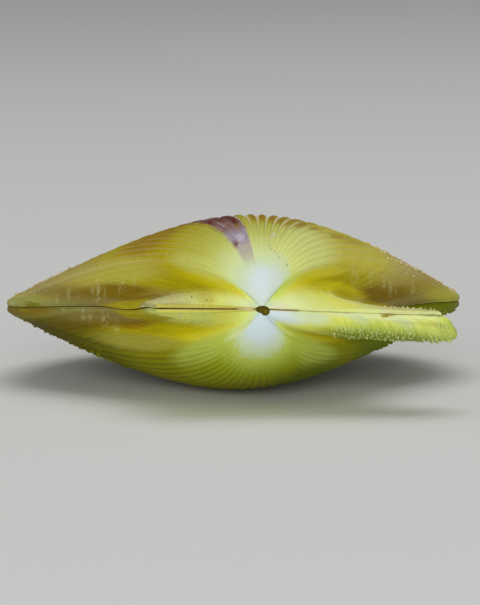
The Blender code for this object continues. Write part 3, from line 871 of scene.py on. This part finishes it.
LOWER_PATCHES = (
    ("lime", 1.5, 24, 4.0, 15, 0.8),
    ("pale_lime", 0.2, 9, 2.4, 8, 0.95),
    ("lime", 24.6, 26, 4.6, 15, 0.8),
    ("leaf", 6.0, 28, 5.0, 10, 0.45),
    # Painted shade in part: the dark fern patches on the anterior side, which turns from the light.
    ("fern", 18.5, 36, 6.5, 17, 1.0),
    ("fern", 24.0, 58, 5.0, 16, 0.95),
    ("gold", -2.3, 94, 0.7, 14, 0.85),
    ("bright_gold", -2.1, 58, 0.9, 13, 0.7),
    ("dry_moss", 0.0, 54, 1.1, 24, 0.85),
    ("gold", -2.6, 82, 0.9, 7, 0.7),
    # Painted shade in part: olive and fern along the anterior tip's margin, which lies in shade.
    ("olive", 25.5, 97, 5.0, 16, 0.9),
    ("fern", 25.3, 99, 2.4, 11, 0.85),
    ("rust", -1.3, 74, 0.7, 6, 0.4),
    ("blue_milk", 28.2, 4, 4.2, 12, 1.0),
    # Partly painted highlight: the bluish-white and pale celery patches on the smooth top band of the right
    # ear.
    ("blue_milk", 30.2, 8, 1.8, 20, 0.9),
    ("celery", 30.6, 26, 1.0, 15, 0.9),
    ("cream_lemon", 30.95, 58, 0.4, 46, 0.85),
    ("lime", 29.9, 66, 0.9, 44, 1.0),
    ("fern", 29.6, 66, 0.75, 46, 0.7),
    ("lime", 30.3, 98, 0.9, 9, 0.7),
    ("celery", 30.8, 52, 0.7, 8, 0.55),
    ("celery", 30.8, 76, 0.7, 8, 0.55),
    ("lemon", 30.7, 89, 0.5, 8, 0.5),
    # Painted highlight: a pale growth streak on the posterior ear.
    ("bone", -4.3, 76, 0.9, 1.3, 0.8),
    ("lemon", -3.3, 58, 0.6, 22, 0.35),
    ("lichen", 0.2, 99, 2.6, 6, 0.7),
    ("umber", 0.5, 99, 1.5, 5.5, 0.85),
    ("leaf", 0.36, 100, 0.1, 0.7, 0.5),
    ("taupe", 0.25, 94.5, 0.12, 1.5, 0.4),
    ("pale_lime", -1.8, 13, 2.2, 9, 0.7),
    ("pale_lime", 27.2, 13, 1.4, 8, 0.7),
)
RAY_PATCHES = (
    ("maroon", 9.0, 17.2, 1.1, 1.3, 0.85),
    ("pale_lilac", 10.5, 19.0, 1.2, 2.2, 0.9),
    ("ochre", 11.1, 29, 0.6, 7.0, 0.9),
    ("maroon", 11.3, 31, 0.9, 6.5, 1.0),
    ("ochre", 8.3, 34, 0.6, 7, 0.6),
    ("maroon", 11.5, 42, 0.9, 9.0, 0.9),
    ("maroon", 8.8, 37, 0.6, 5, 0.8),
    ("lilac", 9.6, 28, 0.4, 3, 0.7),
)

# Patterns too fine for the mesh, as features in each millimetre and depths in millimetres. The growth lines
# are about 0.4 mm apart and are stretched along the growth map: features to a rib, and to a hundredth.
SKIN_GRAIN = 2.6
SKIN_RELIEF = 0.14
GROWTH_LINES = (0.35, 2.2, 0)
RIBLETS_PER_RIB = 3
HIGHLIGHT_BREAKS = 1.5
LIGAMENT_FIBRES = (0.9, 6, 9)
LIGAMENT_RELIEF = 0.05
INNER_BANDS = 0.9
INNER_RELIEF = 0.1
PAPER_TOOTH = 1.5
PAPER_RELIEF = 0.1

# Painted highlights: pale upright streaks where the growth lines on the flanks catch the light, in mm: X, Z,
# half width, half height, strength.
UPPER_GROWTH_HIGHLIGHTS = (
    (-14.4, 11.4, 0.51, 2, 0.34), (-14.95, 11.2, 0.32, 1.38, 0.2), (-13.6, 11.5, 0.32, 1.12, 0.17),
    (-11.6, 12.2, 0.37, 1.25, 0.26), (-10.4, 12.7, 0.32, 1, 0.23), (-12, 11.9, 0.27, 1, 0.17),
    (-18.9, 10.3, 0.37, 0.88, 0.23), (-17.6, 10.8, 0.32, 1.12, 0.2), (-16.6, 11, 0.27, 1, 0.14),
    (12.7, 13, 0.37, 1.75, 0.28), (13.15, 13, 0.27, 1.5, 0.2), (14.6, 13, 0.37, 1.88, 0.23),
    (16.1, 11.8, 0.32, 1.25, 0.23), (16.8, 11.2, 0.41, 1.25, 0.26), (17.35, 11, 0.27, 1.12, 0.17),
    (19.3, 10.8, 0.46, 1.25, 0.26), (20.6, 10.6, 0.27, 1, 0.14),
)
LOWER_GROWTH_HIGHLIGHTS = (
    (-16, 8.8, 0.41, 1.12, 0.31), (-15.3, 8.7, 0.41, 1.12, 0.31), (-13.6, 8.5, 0.65, 1.62, 0.28),
    (-12.3, 7.9, 0.46, 1.25, 0.26), (-12.9, 8, 0.27, 1.12, 0.17), (-18.2, 9.2, 0.32, 0.88, 0.17),
)


def area(tree, *edges, amount=1.0):
    """A mask inside soft edges: each edge is a value, where the mask starts and where it is full."""
    for value, start, full in edges:
        edge = {0: value, 1: start, 2: full, 4: amount}
        amount = add(tree, "MapRange", edge, interpolation_type="SMOOTHSTEP")
    return amount


def coat(tree, base, colour, *edges, amount=1.0):
    """A named or linked colour laid over the base, inside soft edges."""
    colour = srgb(PAINT[colour]) if isinstance(colour, str) else colour
    sockets = {0: area(tree, *edges, amount=amount), 6: base, 7: colour}
    return add(tree, "Mix", sockets, gives=2, data_type="RGBA")


def from_oval(tree, plane, centre, half_sizes):
    """Distance from an oval's centre, counted in its half sizes. A half size of 0 leaves that way out."""
    scale = Vector([1 / half if half else 0 for half in half_sizes])
    place = {"Vector": plane, "Location": -scale * Vector(centre), "Scale": scale}
    moved = add(tree, "Mapping", place)
    return add(tree, "VectorMath", {0: moved}, gives="Value", operation="LENGTH")


def patch(tree, base, plane, colour, rib, stage, ribs, stages, amount=1.0):
    """A soft oval of colour on the growth map."""
    away = from_oval(tree, plane, (rib, stage, 0), (ribs, stages, 0))
    return coat(tree, base, colour, (away, 1.0, 0.35), amount=amount)


def growth_map(tree):
    """The growth map: ribs from the posterior shoulder, growth stage, and both on one plane in hundredths.

    Then the same three ruffled by a noise of about a third of a rib, so that colours end in uneven edges.
    """
    uv = add(tree, "UVMap", uv_map="growth")
    across = add(tree, "SeparateXYZ", {0: uv})
    stage = across.node.outputs["Y"]
    to_ribs = {"Value": across, "From Min": DISC_U[0], "From Max": DISC_U[1], "To Max": float(RIBS)}
    rib = add(tree, "MapRange", to_ribs, clamp=False)
    hundredths = add(tree, "Math", {0: stage, 1: 100.0}, operation="MULTIPLY")
    plane = add(tree, "CombineXYZ", {"X": rib, "Y": hundredths})
    rough = add(tree, "TexNoise", {"Vector": plane, "Scale": 0.7, "Detail": 3.0}, gives="Color")
    push = add(tree, "VectorMath", {0: rough, 1: (0.5, 0.5, 0.5)}, operation="SUBTRACT")
    push = {0: push, 1: (0.8, 4.0, 0.0), 2: plane}
    ruffled = add(tree, "VectorMath", push, operation="MULTIPLY_ADD")
    soft_rib = add(tree, "SeparateXYZ", {0: ruffled})
    soft_stage = add(tree, "Math", {0: soft_rib.node.outputs["Y"], 1: 0.01}, operation="MULTIPLY")
    return rib, stage, plane, soft_rib, soft_stage, ruffled


def valve_skin(name, grounds, patches, growth_highlights, marks, tips):
    """Calcite skin of a valve: grounds, patches, painted growth-line highlights, its own marks, and relief
    too fine for the mesh.
    """
    material, tree, shader = new_material(name)
    growth = rib, stage, plane, soft_rib, soft_stage, ruffled = growth_map(tree)
    colour = srgb(PAINT["lemon"])
    for stops, *edges in grounds:
        ground = add(tree, "ValToRGB", {0: soft_stage}, stops)
        for edge in edges:
            colour = coat(tree, colour, ground, (soft_rib, *edge))
    for paint, *where in patches:
        colour = patch(tree, colour, ruffled, paint, *where)

    # Painted highlights on the growth lines stand upright on the flanks only.
    place = add(tree, "TexCoord", gives="Object")
    on_flank = area(tree, (rib, 25.4, 26.2), (rib, 28.4, 27.8))
    on_flank = add(tree, "Math", {0: on_flank, 1: area(tree, (rib, -2.6, -2.0), (rib, 0.8, 0.0))})
    broken = add(tree, "TexNoise", {"Vector": place, "Scale": HIGHLIGHT_BREAKS / MM, "Detail": 4.0})
    on_flank = area(tree, (broken, 0.35, 0.6), amount=on_flank)
    for x, z, half_width, half_height, strength in growth_highlights:
        away = from_oval(tree, place, (x * MM, 0, z * MM), (half_width * MM, 0, half_height * MM))
        mask = add(tree, "Math", {0: on_flank, 1: strength}, operation="MULTIPLY")
        colour = coat(tree, colour, "bone", (away, 1.0, 0.0), amount=mask)

    # The rim along the hinge is painted duller on the posterior side, a painted shade where its edge catches
    # the key light, and paler on the anterior side.
    colour = coat(tree, colour, "hay", (rib, -4.9, -5.02), amount=0.8)
    colour = coat(tree, colour, "pale_lime", (rib, 30.9, 31.02), amount=0.5)

    # How strongly the interspaces of the ribs show: most in the middle of the disc.
    from_groove = add(tree, "Math", {0: rib, 1: 0.5}, operation="PINGPONG")
    on_disc = area(tree, (rib, 0.3, 1.2), (rib, 25.7, 24.8), (stage, 0.12, 0.24))
    in_middle = area(tree, (rib, 8.0, 11.5), (rib, 19.5, 17.0), amount=0.75)
    thread = add(tree, "Math", {0: in_middle, 1: 0.12})
    thread = add(tree, "Math", {0: thread, 1: on_disc}, operation="MULTIPLY")
    colour = marks(tree, colour, growth, from_groove, thread)

    # The hole between the beaks is painted dark, a painted shade in the recess, and the notch between the
    # ears is pale.
    for (x, z), (half_width, half_height), depth, paint in HOLLOWS:
        around = np.array([half_width, depth / 0.3, half_height]) * MM * 1.02
        away = from_oval(tree, place, rest(np.array([x, 0.0, z])), around)
        colour = coat(tree, colour, paint, (away, 1.1, 0.95))

    # Scales are paler towards their free edge.
    tip = add(tree, "Attribute", gives="Fac", attribute_name="tip")
    paint, strength = tips
    on_disc = area(tree, (rib, 28.6, 27.8), (rib, -3.6, -2.8), amount=strength)
    colour = coat(tree, colour, paint, (tip, 0.3, 1.0), amount=on_disc)
    colour = coat(tree, colour, "pale_lime", (tip, 0.1, 0.9), (rib, 27.8, 28.6), amount=0.42)

    # Relief: riblets on each rib, growth lines and a grain. It is worn off near the beak and on the ears.
    turns = add(tree, "Math", {0: rib, 1: 2 * math.pi * RIBLETS_PER_RIB}, operation="MULTIPLY")
    riblets = add(tree, "Math", {0: turns}, operation="SINE")
    fine = add(tree, "Mapping", {"Vector": plane, "Scale": GROWTH_LINES})
    lines = add(tree, "TexNoise", {"Vector": fine, "Scale": 1.0, "Detail": 4.0, "Roughness": 0.6})
    grain = add(tree, "TexNoise", {"Vector": place, "Scale": SKIN_GRAIN / MM, "Detail": 3.0})
    relief = add(tree, "Math", {0: riblets, 1: 0.12, 2: lines}, operation="MULTIPLY_ADD")
    relief = add(tree, "Math", {0: grain, 1: 0.35, 2: relief}, operation="MULTIPLY_ADD")
    on_ear = area(tree, (rib, 27.5, 29.5))
    on_ear = add(tree, "Math", {0: on_ear, 1: area(tree, (rib, -2.5, -3.5))})
    worn = area(tree, (stage, 0.08, 0.3), (on_ear, 1.4, 0.0))
    relief = add(tree, "Mix", {0: worn, 2: 0.72, 3: relief})
    bump = add(tree, "Bump", {"Height": relief, "Strength": 0.7, "Distance": SKIN_RELIEF * MM})

    # Growth lines and riblets also tint the skin a little.
    tint = add(tree, "MapRange", {0: relief, 1: 0.35, 2: 1.05, 3: 0.9, 4: 1.08})
    colour = add(tree, "VectorMath", {0: colour, "Scale": tint}, operation="SCALE")
    gloss = add(tree, "MapRange", {0: grain, 1: 0.3, 2: 0.7, 3: 0.52, 4: 0.72})
    fill(tree, shader, {
        "Base Color": colour, "Normal": bump, "Roughness": gloss, "IOR": 1.53, "Specular IOR Level": 0.08,
        "Subsurface Weight": 0.1, "Subsurface Radius": (1.0, 0.8, 0.35), "Subsurface Scale": 0.6 * MM,
    })
    return material


def upper_marks(tree, colour, growth, from_groove, thread):
    """Orange rib tops, threads and the purple ray of the upper valve, and the rough strip on its ear."""
    rib, stage, plane, soft_rib, soft_stage, ruffled = growth

    # Orange-brown rib tops at mid growth.
    colour = coat(
        tree, colour, "ochre",
        (from_groove, 0.1, 0.3), (stage, 0.24, 0.31), (stage, 0.6, 0.5), (rib, 12.6, 13.6), (rib, 20.0, 17.0),
        amount=0.95,
    )
    # A pale thread in each interspace, with a darker line on each side of it that is partly painted shade in
    # the interspace. It opens out to the margin.
    opening = add(tree, "Math", {0: stage, 1: 0.5, 2: -0.03}, operation="MULTIPLY_ADD")
    opening = add(tree, "Math", {0: opening, 1: 0.06}, operation="MAXIMUM")
    from_thread = add(tree, "Math", {0: from_groove, 1: opening}, operation="DIVIDE")
    colour = coat(tree, colour, "gold", (from_thread, 2.4, 1.3), amount=thread)
    pale = coat(tree, srgb(PAINT["pale_thread"]), "thread", (stage, 0.24, 0.36))
    colour = coat(tree, colour, pale, (from_thread, 1.25, 0.6), amount=thread)

    # The purple ray along three ribs: grey where it starts, then lilac, mauve and maroon.
    hue = add(tree, "ValToRGB", {0: soft_stage}, RAY)
    for paint, *where in RAY_PATCHES:
        hue = patch(tree, hue, ruffled, paint, *where)
    flecks = add(tree, "TexNoise", {"Vector": plane, "Scale": 1.6, "Detail": 2.0})
    hue = coat(tree, hue, "pale_lilac", (flecks, 0.55, 0.68), (stage, 0.12, 0.18), amount=0.45)
    hue = coat(tree, hue, "maroon", (flecks, 0.47, 0.4), (stage, 0.25, 0.31), amount=0.7)
    hue = coat(tree, hue, "thread", (from_groove, 0.12, 0.03), (stage, 0.4, 0.3), amount=0.2)
    fade = add(tree, "Math", {0: area(tree, (stage, 1.0, 0.5), amount=0.3), 1: 0.68})
    edges = (soft_rib, 8.0, 8.9), (soft_rib, 12.15, 11.9), (stage, 0.06, 0.14)
    colour = coat(tree, colour, hue, *edges, amount=fade)

    # A rough whitish strip at the end of the posterior ear.
    rough = add(tree, "TexNoise", {"Vector": plane, "Scale": 1.9, "Detail": 3.0})
    colour = coat(
        tree, colour, "bone", (rough, 0.42, 0.62), (rib, -2.6, -3.3), (rib, -5.0, -4.7), (stage, 0.6, 0.75),
        amount=0.9,
    )
    return coat(tree, colour, "taupe", (rough, 0.4, 0.32), (rib, -2.8, -3.3), (stage, 0.42, 0.5), amount=0.5)


def lower_marks(tree, colour, growth, from_groove, thread):
    """Faint threads of the lower valve, and fine dark lines between the ribs of its posterior side."""
    rib, stage, *_ = growth
    faint = add(tree, "Math", {0: thread, 1: 0.15}, operation="MULTIPLY")
    colour = coat(tree, colour, "moss", (from_groove, 0.3, 0.14), amount=faint)
    colour = coat(tree, colour, "lime", (from_groove, 0.1, 0.035), amount=faint)
    lines = add(tree, "Math", {0: rib, 1: 0.25}, operation="PINGPONG")
    at_side = area(tree, (rib, 8.0, 4.0), (rib, 0.4, 1.2), (stage, 0.3, 0.45), amount=0.2)
    return coat(tree, colour, "dark_moss", (lines, 0.09, 0.02), amount=at_side)


def ligament_skin(name):
    """Dried horny ligament: brown by the beaks, paler and redder outwards, with fine grooves along it."""
    material, tree, shader = new_material(name)
    first, last = LIGAMENT_COURSE[0][0], LIGAMENT_COURSE[-1][0]
    stops = [((x - first) / (last - first), paint) for x, _, _, paint in LIGAMENT_COURSE]
    uv = add(tree, "UVMap", uv_map="growth")
    along = add(tree, "SeparateXYZ", {0: uv})
    colour = add(tree, "ValToRGB", {0: along}, stops)
    place = add(tree, "TexCoord", gives="Object")
    stretched = add(tree, "Mapping", {"Vector": place, "Scale": Vector(LIGAMENT_FIBRES) / MM})
    fibres = add(tree, "TexNoise", {"Vector": stretched, "Scale": 1.0, "Detail": 3.0})
    tint = add(tree, "MapRange", {0: fibres, 1: 0.3, 2: 0.7, 3: 0.7, 4: 1.15})
    colour = add(tree, "VectorMath", {0: colour, "Scale": tint}, operation="SCALE")
    bump = add(tree, "Bump", {"Height": fibres, "Strength": 0.6, "Distance": LIGAMENT_RELIEF * MM})
    fill(tree, shader, {"Base Color": colour, "Normal": bump, "Roughness": 0.55, "IOR": 1.54})
    return material


def inner_skin(name):
    """Smooth silky calcite inside: ivory, banded, yellower outwards, and painted shade where the valves meet.
    """
    material, tree, shader = new_material(name)
    place = add(tree, "TexCoord", gives="Object")
    beak = Vector(rest(np.zeros(3)))
    upright = (Vector(rest(np.array([0, 0, 1.0]))) - beak).normalized()
    away = add(tree, "VectorMath", {0: place, 1: upright}, gives="Value", operation="DOT_PRODUCT")
    away = add(tree, "Math", {0: away, 1: beak.dot(upright)}, operation="SUBTRACT")
    away = add(tree, "Math", {0: away}, operation="ABSOLUTE")
    grown = add(tree, "VectorMath", {0: place, 1: beak}, gives="Value", operation="DISTANCE")
    banding = {"W": grown, "Scale": INNER_BANDS / MM, "Detail": 3.0}
    bands = add(tree, "TexNoise", banding, noise_dimensions="1D")
    colour = coat(tree, srgb(PAINT["ivory"]), "pale_lemon", (grown, 20 * MM, 50 * MM), amount=0.7)
    # Painted shade: a dark band along the gap where the valves meet, matt as well.
    gap_shade = area(tree, (away, 0.9 * MM, 0.4 * MM))
    colour = coat(tree, colour, "hole", amount=gap_shade)
    tint = add(tree, "MapRange", {0: bands, 1: 0.3, 2: 0.7, 3: 0.92, 4: 1.04})
    colour = add(tree, "VectorMath", {0: colour, "Scale": tint}, operation="SCALE")
    bump = add(tree, "Bump", {"Height": bands, "Strength": 0.3, "Distance": INNER_RELIEF * MM})
    gloss = add(tree, "MapRange", {0: bands, 1: 0.3, 2: 0.7, 3: 0.25, 4: 0.4})
    gloss = add(tree, "Mix", {0: gap_shade, 2: gloss, 3: 0.95})
    fill(tree, shader, {
        "Base Color": colour, "Normal": bump, "Roughness": gloss, "IOR": 1.53, "Specular IOR Level": 0.15,
    })
    return material


def paper_skin(name):
    """Matt paper under the shell: an even pale grey with a faint tooth, which leaves the eye on the shell."""
    material, tree, shader = new_material(name)
    place = add(tree, "TexCoord", gives="Object")
    tooth = add(tree, "TexNoise", {"Vector": place, "Scale": PAPER_TOOTH / MM, "Detail": 2.0})
    bump = add(tree, "Bump", {"Height": tooth, "Strength": 0.1, "Distance": PAPER_RELIEF * MM})
    fill(tree, shader, {"Base Color": srgb("#D8D8D5"), "Normal": bump, "Roughness": 0.9})
    return material


# Foliated calcite, grown in thin layers and dried: a satin to matt skin with soft, low highlights and a trace
# of light inside it. The upper valve is lemon and gold with the purple ray, and its scales end rosy white.
upper_calcite = valve_skin(
    "upper_calcite", UPPER_GROUNDS, UPPER_PATCHES, UPPER_GROWTH_HIGHLIGHTS, upper_marks, ("rose", 0.85)
)
# The same calcite on the lower side: greener, and darker away from its milky beak, partly its own colour and
# partly painted shade of a side turned from the light.
lower_calcite = valve_skin(
    "lower_calcite", LOWER_GROUNDS, LOWER_PATCHES, LOWER_GROWTH_HIGHLIGHTS, lower_marks, ("leaf", 0.5)
)
inner_calcite = inner_skin("inner_calcite")
left_shell = valve_shell("left_valve_shell", True)
right_shell = valve_shell("right_valve_shell", False)
left_scales = valve_scales("left_valve_scales", True)
right_scales = valve_scales("right_valve_scales", False)
ligament = ligament_strip("ligament_strip")
for piece, finish, *skins in (
    (left_shell, "upper_shell", upper_calcite, inner_calcite),
    (right_shell, "lower_shell", lower_calcite, inner_calcite),
    (left_scales, "upper_shell", upper_calcite),
    (right_scales, "lower_shell", lower_calcite),
    (ligament, "ligament_brown", ligament_skin("dried_ligament")),
):
    for skin in skins:
        piece.data.materials.append(skin)
    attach(piece, "root")
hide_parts("left_valve")
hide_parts("right_valve")
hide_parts("ligament")

# Camera: seen from the hinge side, almost along the plane where the valves meet.
azimuth, elevation = math.radians(CAMERA_AZIMUTH), math.radians(CAMERA_ELEVATION)
forward = np.array([
    math.sin(azimuth) * math.cos(elevation), math.cos(azimuth) * math.cos(elevation), -math.sin(elevation)
])
right = np.array([math.cos(azimuth), -math.sin(azimuth), 0])
up = np.cross(right, forward)
roll = math.radians(CAMERA_ROLL)
right, up = math.cos(roll) * right - math.sin(roll) * up, math.sin(roll) * right + math.cos(roll) * up
spot = rest(np.array(CAMERA_TARGET) - forward * CAMERA_DISTANCE)
turned = [rest(np.array(axis)) - rest(np.zeros(3)) for axis in (right, up, -forward)]
bpy.ops.object.camera_add()
camera = bpy.context.object
camera.name = "studio_camera"
axes = Matrix([list(axis / np.linalg.norm(axis)) for axis in turned]).transposed()
camera.matrix_world = Matrix.Translation(Vector(spot)) @ axes.to_4x4()
camera.data.sensor_fit = "HORIZONTAL"
camera.data.sensor_width = SENSOR_WIDTH
camera.data.lens = CAMERA_FOCAL_PIXELS * SENSOR_WIDTH / PHOTO_WIDTH_PIXELS
camera.data.clip_start = 0.01
camera.data.clip_end = 20
bpy.context.scene.camera = camera

# Floor and light, in metres and watts.
FLOOR_SIZE = 6
FLOOR_PLACE = (0, 1.5, 0)
KEY_BOX = ((-0.06, -0.85, 0.12), 0.5, 6.65)
TOP_BOX = ((0.05, 0.1, 0.7), 0.6, 2.2)
SHELL_MIDDLE = (0, 0, 0.008)
AIR_STRENGTH = 0.38

clear_selection()
bpy.ops.mesh.primitive_plane_add(size=FLOOR_SIZE, location=FLOOR_PLACE)
floor = bpy.context.object
floor.name = "studio_floor"
bpy.ops.object.transform_apply(location=True)
floor.data.materials.append(paper_skin("matt_paper"))


def soft_light(name, place, size, watts):
    """A square soft box that faces the shell."""
    bpy.ops.object.light_add(type="AREA", location=place)
    lamp = bpy.context.object
    lamp.name = name
    lamp.data.size = size
    lamp.data.energy = watts
    lamp.rotation_euler = (Vector(SHELL_MIDDLE) - Vector(place)).to_track_quat("-Z", "Y").to_euler()


soft_light("key_box", *KEY_BOX)
soft_light("top_box", *TOP_BOX)
world = bpy.data.worlds.new("studio_air")
world.use_nodes = True
air = world.node_tree
fill(air, air.nodes["Background"], {"Color": srgb("#E6E8EA"), "Strength": AIR_STRENGTH})
bpy.context.scene.world = world
bpy.context.scene.view_settings.view_transform = "Standard"
bpy.context.scene.view_settings.look = "None"
